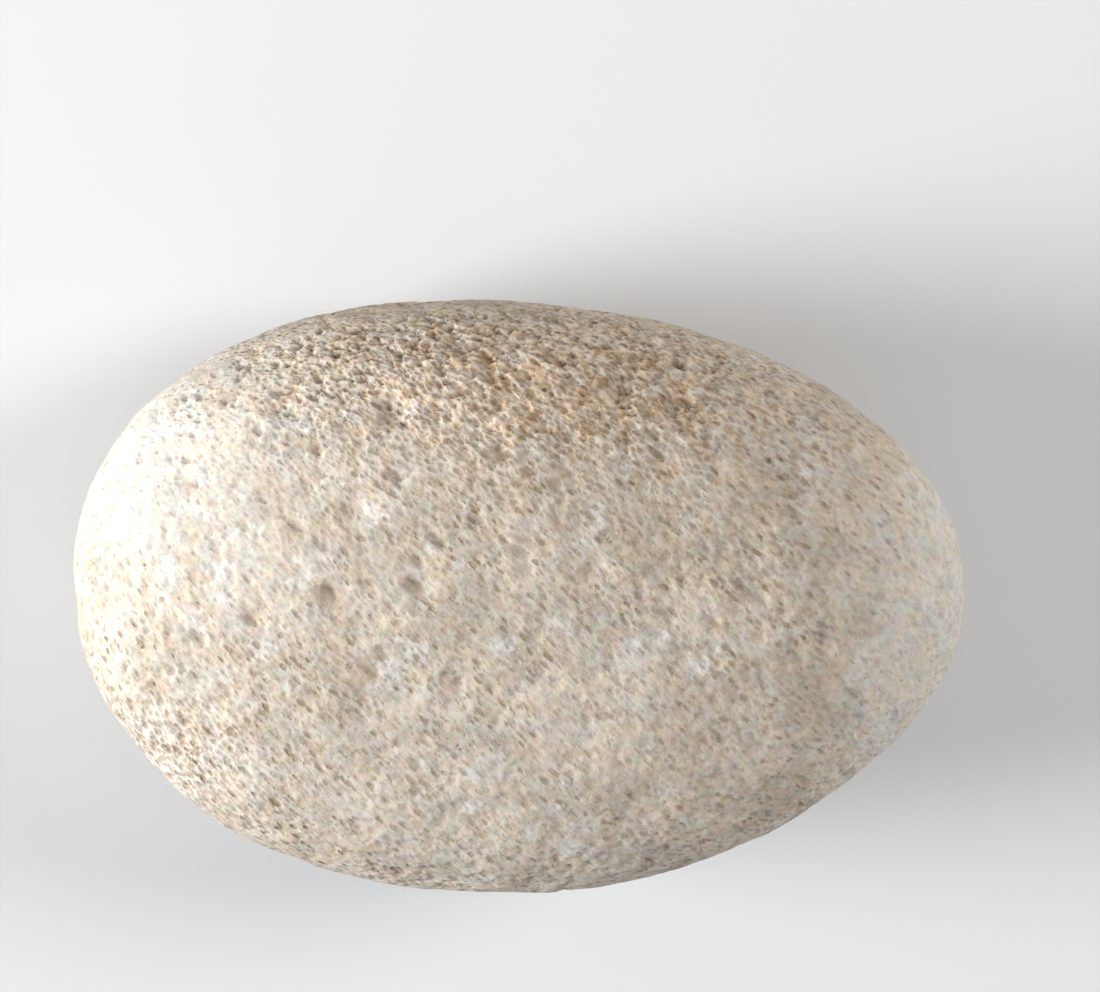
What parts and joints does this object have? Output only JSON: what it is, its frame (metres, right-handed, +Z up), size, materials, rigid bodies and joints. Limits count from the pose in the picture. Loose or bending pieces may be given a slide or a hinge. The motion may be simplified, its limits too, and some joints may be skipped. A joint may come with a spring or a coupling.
{
  "type": "pumice stone",
  "caption": "Oblong natural pumice pebble for rubbing skin, a pale porous stone with drawn-out open pits, resting on its broad face.",
  "frame": {"origin": "on the surface that the stone lies on, under the middle of its box", "axes": "+X along the stone's length, +Y across its width, +Z up through its thickness"},
  "size_m": [0.1024, 0.0672, 0.038],
  "materials": {
    "pumice": "matt, open-pored, uncoated"
  },
  "bodies": {
    "root": {"pumice_stone": "pumice"}
  },
  "joints": []
}
